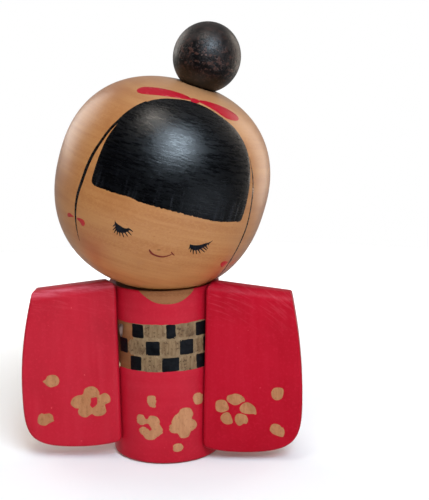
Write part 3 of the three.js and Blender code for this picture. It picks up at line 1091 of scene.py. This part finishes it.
SLEEVE_FLOWER = [
    (-22.1, 19.6), (-21.7, 20.8), (-20.7, 21.5), (-19.3, 21.7), (-18.2, 21.1), (-17.5, 19.9),
    (-17.6, 19.4), (-17.3, 19.2), (-16.1, 19.8), (-15, 19.3), (-14.5, 18.2), (-14.7, 17.1),
    (-16, 16.5), (-16, 15.7), (-15.8, 14.3), (-16.8, 13.3), (-18.7, 13), (-19.8, 13.6),
    (-20.6, 13.2), (-21.5, 12.6), (-22.7, 12.8), (-23.6, 13.5), (-23.8, 14.5), (-23.5, 15.2),
    (-24.5, 15.3), (-25.6, 16.2), (-25.7, 17.1), (-25, 18.3), (-23.8, 19), (-22.7, 19.2),
]
SLEEVE_FLOWER_EYE = [
    (-20, 18.2), (-19.4, 18.4), (-18.3, 18.5), (-18.2, 17.2), (-18.4, 16.4), (-19.6, 15.4),
    (-20.3, 16.2), (-20, 17.2),
]
SLEEVE_MARK_LIFT = 0.06
for name, outline in SLEEVE_MARKS.items():
    film = Film().add(loop(outline), on_sleeve, SLEEVE_MARK_LIFT, MARK_SPACING)
    paint_figure(film, name, SLEEVE_GOLD)
film = Film().add(loop(SLEEVE_FLOWER), on_sleeve, SLEEVE_MARK_LIFT, MARK_SPACING,
                  [loop(SLEEVE_FLOWER_EYE)])
paint_figure(film, "sleeve_right_flower", SLEEVE_GOLD)


# The glue that ran out of the joint and dried: a bead with a thin tail, as shares of its radius
# and half its length.

GLUE_PROFILE = [
    (0, -1), (0.32, -0.9), (0.55, -0.6), (0.7, -0.2), (0.9, 0.2), (1, 0.55), (0.8, 0.85),
    (0.4, 0.97), (0, 1),
]
GLUE_SIDES = 20
GLUE_LUMPS = 0.22


def glue_bead():
    verts, faces = lathe(GLUE_PROFILE, GLUE_SIDES)
    shaped = []
    for x, y, z in verts:
        push = 1 + GLUE_LUMPS * noise.noise(Vector((x * 1.4, y * 1.4, z * 3)))
        shaped.append((x * GLUE["radius"] * push, y * GLUE["radius"] * push,
                       z * GLUE["length"] / 2))
    from_axis = BODY_RADIUS + GAP + GLUE["radius"]
    y = -math.sqrt(from_axis ** 2 - GLUE["x"] ** 2)
    item = made("glue_run", shaped, faces, moved(GLUE["x"], y, GLUE["height"]))
    rounder = item.modifiers.new("rounder", "SUBSURF")
    rounder.levels = rounder.render_levels = 1
    return item


finished(glue_bead(), dried_glue(), "figure", "dried_glue", "glue_bead")


# The head and its bun.

def turned_bun(name, grown):
    """The bun, or what cuts its seat when it's grown."""
    profile = []
    for i in range(BUN_RINGS + 1):
        angle = i / BUN_RINGS * math.pi
        across = 0 if i in (0, BUN_RINGS) else BUN_RADIUS * math.sin(angle)
        up = -BUN_RADIUS * BUN_STRETCH * math.cos(angle)
        profile.append((across * grown, up * grown))
    return made(name, *lathe(profile, BUN_SIDES), BUN_PLACE)


head = made("head_turned", *lathe(head_profile(HEAD_BOTTOM, HEAD_RINGS), HEAD_SIDES), HEAD_PLACE)
carve(head, hole_tool(NECK_PEG, Matrix.Identity(4)))
carve(head, turned_bun("tool", 1 + GAP / BUN_RADIUS))
carve(head, hole_tool(BUN_PEG, BUN_LINE))
finished(head, FACE, "head_and_bun", "face_wood", "head")

bun = turned_bun("bun_turned", 1)
carve(bun, hole_tool(BUN_PEG, BUN_LINE))
finished(bun, bun_stain(), "head_and_bun", "bun_stain", "hair_bun")

# The painted fringe. Its bottom edge is where the brush was lifted, a stroke at a time.

def fringe_bottom():
    """Along the brow from the doll's left to its right, in (degrees round, height)."""
    xs, zs = zip(*FRINGE_BROW)
    points, at = [], xs[-1]
    while at > xs[0] + 0.8:
        width = draw.uniform(*STROKE_WIDTHS)
        end = float(np.interp(at, xs, zs)) + draw.uniform(-0.13, 0.1)
        points += [(at, end + draw.uniform(0.02, 0.12)), (at - width * 0.45, end)]
        at -= width
    return points


STROKE_WIDTHS = (0.7, 1.9)  # in degrees
FRINGE_BROW = [
    (-43, -2.1), (-40.9, -2.25), (-36.8, -2.05), (-28.4, -1.95), (-23.1, -1.6), (-19.4, -1.85),
    (-15, -2.1), (0.9, -2.05), (16.9, -2.3), (26.6, -2.4), (37.3, -2), (41.4, -1.9),
]
FRINGE = [
    (-44.3, -1.65), (-45, -0.95), (-45.1, 0.6), (-45, 2.9), (-44.9, 5), (-44.8, 7.2),
    (-44.7, 9.2), (-44.4, 11.1), (-43.7, 13), (-43, 14.7), (-42.9, 16), (-41.9, 17.6),
    (-39.4, 19.8), (-36.2, 21.5), (-35.1, 21.75), (-31.4, 22.75), (-24.4, 23.75),
    (-14.8, 24.4), (-5.1, 24.7), (4.3, 24.6), (13.5, 24.2), (21.2, 23.4), (28.5, 22.4),
    (34.5, 21), (38, 19.2), (40.2, 17.5), (41.6, 15.4), (42.4, 12.4), (42.7, 9.3), (42.8, 5),
    (42.8, 2), (42.6, -0.4), (42.1, -1.5),
]
paint_head("hair_fringe", HAIR,
           loop(unrolled([*fringe_bottom(), *FRINGE], HEAD_RADIUS)[::-1]), lift=0.08, spacing=0.9)

# Strands of hair down the sides, as (degrees round, height, half-width).

STRANDS = {
    "hair_strand_right": [
        (-35.6, 21.85, 0.05), (-37.6, 21, 0.18), (-39.5, 19.85, 0.3), (-41.9, 17.7, 0.42),
        (-43.7, 15.15, 0.46), (-45.2, 13.2, 0.46), (-46.3, 11.2, 0.44), (-47.5, 8.7, 0.44),
        (-48.9, 6, 0.48), (-49.9, 3.5, 0.5), (-50.7, 0.8, 0.52), (-51.3, -1.8, 0.51),
        (-52.6, -6, 0.47), (-53.1, -9.5, 0.4), (-52.9, -12.5, 0.32), (-52.5, -15, 0.22),
        (-52, -17, 0.14), (-51.6, -18.8, 0.05),
    ],
    "hair_strand_left": [
        (42.4, 15, 0.07), (43.4, 13, 0.13), (44.8, 10.6, 0.2), (46.2, 7.4, 0.24),
        (47.4, 3.6, 0.26), (48.7, 0, 0.26), (49.6, -4, 0.28), (49.8, -8.4, 0.28),
        (50.4, -12.4, 0.27), (52.4, -16, 0.25), (55.7, -19.2, 0.2), (59.8, -21.6, 0.12),
        (63, -23, 0.05),
    ],
}
for name, line in STRANDS.items():
    paint_head(name, HAIR, stroke(unrolled(line, HEAD_RADIUS)), lift=0.07, spacing=0.6)

# The ribbon across the fringe's top, and the small bows on the strands.

RIBBONS = {
    "ribbon_right": (RIBBON_RED, [
        (-46.5, 23), (-50.9, 23.15), (-53.2, 23.7), (-52.7, 24.4), (-49.2, 24.85), (-44, 25.2),
        (-38.5, 25.5), (-31, 25.7), (-23.6, 25.8), (-16, 25.8), (-10.3, 25.72), (-3.9, 25.45),
        (-3.5, 25), (-11.1, 24.78), (-20.2, 24.46), (-31.9, 23.9), (-41.4, 23.25),
    ]),
    "ribbon_knot": (RIBBON_RED, [
        (-3.3, 25), (-2.2, 25.45), (0.4, 25.55), (4.2, 25.5), (5.3, 25.2), (4.6, 24.8),
        (1.9, 24.66), (-1.9, 24.66),
    ]),
    "ribbon_left": (RIBBON_RED, [
        (5.5, 25.4), (11.4, 25.6), (19.8, 25.58), (30.3, 25.35), (39.7, 24.8), (45.2, 24.1),
        (45.8, 23.4), (42, 22.9), (36.6, 22.75), (29.3, 22.95), (22.3, 23.75), (16.2, 24.4),
        (9.5, 24.85), (5.7, 25.05),
    ]),
    "bow_right_outer": (BOW, [
        (-60.8, -12.7), (-59, -12.2), (-56.8, -12.3), (-54.5, -12.6), (-56.8, -13),
        (-60, -13.5), (-61.1, -13.3),
    ]),
    "bow_right_inner": (BOW, [
        (-51.7, -12.4), (-49.3, -12.1), (-46.5, -12.1), (-45.6, -12.5), (-45.1, -13),
        (-46.2, -13.8), (-47.9, -13.7), (-49.2, -13.1), (-51, -12.8),
    ]),
    "bow_left_inner": (BOW, [
        (43.6, -15.1), (42.7, -14.6), (43.7, -13.9), (46.4, -13.9), (48.8, -14.2), (48.8, -14.8),
        (47.9, -15.6), (46.2, -15.9),
    ]),
    "bow_left_outer": (FADED_BOW, [
        (53.6, -15.2), (56.3, -14.2), (58.9, -13.7), (60.6, -14.4), (60, -15.6), (57, -15.7),
    ]),
}
for name, (material, outline) in RIBBONS.items():
    paint_head(name, material, loop(unrolled(outline, HEAD_RADIUS)), lift=0.08, spacing=0.5)

# The closed eyes: a heavy lid line, filled below it, with a comb of lashes. The lid runs from
# the doll's right to its left; each lash is (foot x, foot height, tip x, tip height).

EYES = {
    "eye_right": (
        [(-13.66, -8.7), (-13.38, -9.1), (-13, -9.36), (-12.4, -9.58), (-11.7, -9.76),
         (-11.05, -9.96), (-10.45, -9.97), (-9.9, -9.8), (-9.56, -9.56), (-9.15, -9.68)],
        [(-9.02, -9.89, -8.16, -10.2), (-9.54, -10.53, -8.31, -11.3),
         (-10.2, -11.09, -9.26, -11.92), (-10.95, -11.45, -10.3, -12.49),
         (-11.71, -11.57, -11.4, -12.54), (-12.35, -11.54, -12.35, -12.45),
         (-12.89, -11.25, -13.26, -12.19), (-13.1, -10.65, -13.77, -11.59),
         (-13.37, -9.95, -13.94, -10.6)],
    ),
    "eye_left": (
        [(7.66, -9.76), (8.33, -9.83), (9.04, -9.83), (9.82, -9.73), (10.56, -9.52),
         (11.27, -9.22), (11.77, -8.95), (12.3, -8.7), (12.95, -8.5), (14.1, -7.62)],
        [(13.14, -8.87, 13.35, -9.25), (12.58, -9.61, 13.53, -10.29),
         (11.99, -10.08, 13.49, -10.75), (11.43, -10.56, 13.19, -11.39),
         (10.82, -10.95, 11.93, -11.89), (10.16, -11.2, 10.89, -12.24),
         (9.38, -11.3, 9.9, -12.49), (8.64, -11.09, 8.78, -12), (8.06, -10.7, 7.9, -11.24)],
    ),
}
LASH_HALF = 0.2
for name, (lid, lashes) in EYES.items():
    outline = spline(lid, False, 4)
    for foot_x, foot_z, tip_x, tip_z in lashes:
        dx, dz = tip_x - foot_x, tip_z - foot_z
        length = math.hypot(dx, dz)
        nx, nz = -dz / length * LASH_HALF, dx / length * LASH_HALF
        outline += [
            (foot_x + nx, foot_z + nz), (tip_x + nx * 0.5, tip_z + nz * 0.5),
            (tip_x - nx * 0.5, tip_z - nz * 0.5), (foot_x - nx, foot_z - nz),
        ]
    paint_head(name, EYE_BLACK, outline[::-1], lift=0.05, spacing=0.35)

# The mouth and the tip of the nose.

LINES = {
    "mouth": (LIP, [
        (-2.6, -13.72, 0.17), (-2.34, -14.16, 0.25), (-1.62, -14.7, 0.27), (-0.7, -14.95, 0.24),
        (0.17, -15.04, 0.23), (1.02, -15.02, 0.22), (1.82, -14.86, 0.21), (2.55, -14.54, 0.19),
        (3.22, -14.1, 0.16), (3.8, -13.65, 0.13),
    ]),
    "mouth_corner": (LIP, [(3.42, -12.95, 0.09), (3.75, -13.25, 0.17), (4.1, -13.5, 0.2),
                           (4.5, -13.66, 0.14), (4.8, -13.75, 0.05)]),
    "nose": (NOSE, [(-0.55, -13.33, 0.06), (-0.1, -13.22, 0.13), (0.4, -13.08, 0.1)]),
}
for name, (material, line) in LINES.items():
    paint_head(name, material, stroke(line), lift=0.05, spacing=0.3)

# The dowels stay as CAD made them.

for node in ("neck_peg", "bun_peg", "right_sleeve_peg", "left_sleeve_peg"):
    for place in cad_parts[node].material_slots:
        place.material = DOWEL


# ---- The camera, floor and light ----

CAMERA_AT = (36.542, -312.131, 122.0)
CAMERA_TURN = 4.035
CAMERA_PITCH = 11.59
CAMERA_ROLL = -1.05
LENS = 81.8

camera = in_scene("camera", bpy.data.cameras.new("camera"))
camera.data.sensor_width = 36
camera.data.lens = LENS
camera.data.clip_start = 0.01
camera.matrix_world = (moved(*CAMERA_AT) @ turned(CAMERA_TURN, "Z")
                       @ turned(90 - CAMERA_PITCH, "X") @ turned(CAMERA_ROLL, "Z"))
bpy.context.scene.camera = camera
bpy.context.scene.view_settings.view_transform = "Standard"

FLOOR_SIDES = 96
FLOOR_RADIUS = 300
FLOOR_TOP, FLOOR_UNDERSIDE = -0.05, -1

# The paper glows a little away from the doll, in metres from it, to lose the floor's far edge.
GLOW_START, GLOW_END = 0.06, 0.2
GLOW = 0.4

floor = made("floor", *lathe([
    (0, FLOOR_UNDERSIDE), (FLOOR_RADIUS, FLOOR_UNDERSIDE), (FLOOR_RADIUS, FLOOR_TOP),
    (0, FLOOR_TOP),
], FLOOR_SIDES))
paper = Finish("floor_paper", 0.9, specular_ior_level=0.0)
paper.tint_by((248, 248, 248), paper.noise(40), (252, 252, 252))
paper.feed(paper.shader.inputs["Emission Color"], (1, 1, 1, 1))
paper.feed(paper.shader.inputs["Emission Strength"],
           paper.spread(paper.away((0, 0, 0)), GLOW_START, GLOW_END, 0, GLOW))
floor.data.materials.append(paper.material)
floor.visible_glossy = False


LIGHTS_AIM = Vector((0, 0, 70))


def softbox(name, azimuth, elevation, distance, size, power, tint=(1, 1, 1), shiny=True):
    """A soft light that faces the doll. Azimuth 0 is in front and 90 is at its left."""
    lamp = bpy.data.lights.new(name, "AREA")
    lamp.shape = "RECTANGLE"
    lamp.size, lamp.size_y = size
    lamp.energy = power
    lamp.color = tint
    item = in_scene(name, lamp)
    a, e = math.radians(azimuth), math.radians(elevation)
    toward = Vector((math.sin(a) * math.cos(e), -math.cos(a) * math.cos(e), math.sin(e)))
    item.location = LIGHTS_AIM * MM + toward * distance
    item.rotation_euler = toward.to_track_quat("Z", "Y").to_euler()
    item.visible_camera = False
    item.visible_glossy = shiny
    return item


softbox("key", 25, 41, 0.75, (0.34, 0.4), 4.9, (0.71, 0.86, 1))
softbox("overhead", -12, 74, 0.8, (0.18, 0.15), 1.0, (1, 0.93, 0.84))
softbox("fill", 4, 12, 0.9, (0.9, 0.7), 2.8, (1, 0.95, 0.89), shiny=False)
softbox("ceiling", 0, 85, 1.1, (1.2, 1.2), 4.6, (1, 0.97, 0.93), shiny=False)
softbox("left", -130, 22, 0.8, (0.5, 0.5), 1.8, (1, 0.93, 0.86))
softbox("right", 134, 8, 0.8, (0.4, 0.8), 2.2, (1, 0.87, 0.74))
softbox("low_card", 50, -17, 0.5, (0.4, 0.18), 0.15, (0.78, 0.88, 1))


# The room's light grows between these ends, of -1 for ahead of the doll and 1 for behind it.
FRONT_END, BACK_END = -0.2, 0.9
FRONT_LIGHT, BACK_LIGHT = 0.015, 0.34


def studio():
    """White paper all round for the camera. For the doll the room is dark in front and paler
    behind."""
    world = bpy.data.worlds.new("studio")
    world.use_nodes = True
    bpy.context.scene.world = world
    tree = world.node_tree
    around, axes, fade, seen, pick = (tree.nodes.new("ShaderNode" + kind) for kind in (
        "TexCoord", "SeparateXYZ", "MapRange", "LightPath", "Mix"))
    tree.links.new(around.outputs["Generated"], axes.inputs[0])
    tree.links.new(axes.outputs[1], fade.inputs[0])
    for socket, value in zip(fade.inputs[1:5], (FRONT_END, BACK_END, FRONT_LIGHT, BACK_LIGHT)):
        socket.default_value = value
    tree.links.new(seen.outputs["Is Camera Ray"], pick.inputs[0])
    tree.links.new(fade.outputs[0], pick.inputs[2])
    pick.inputs[3].default_value = 1.0
    paper_light = tree.nodes["Background"]
    paper_light.inputs["Color"].default_value = (1, 1, 1, 1)
    tree.links.new(pick.outputs[0], paper_light.inputs["Strength"])


studio()
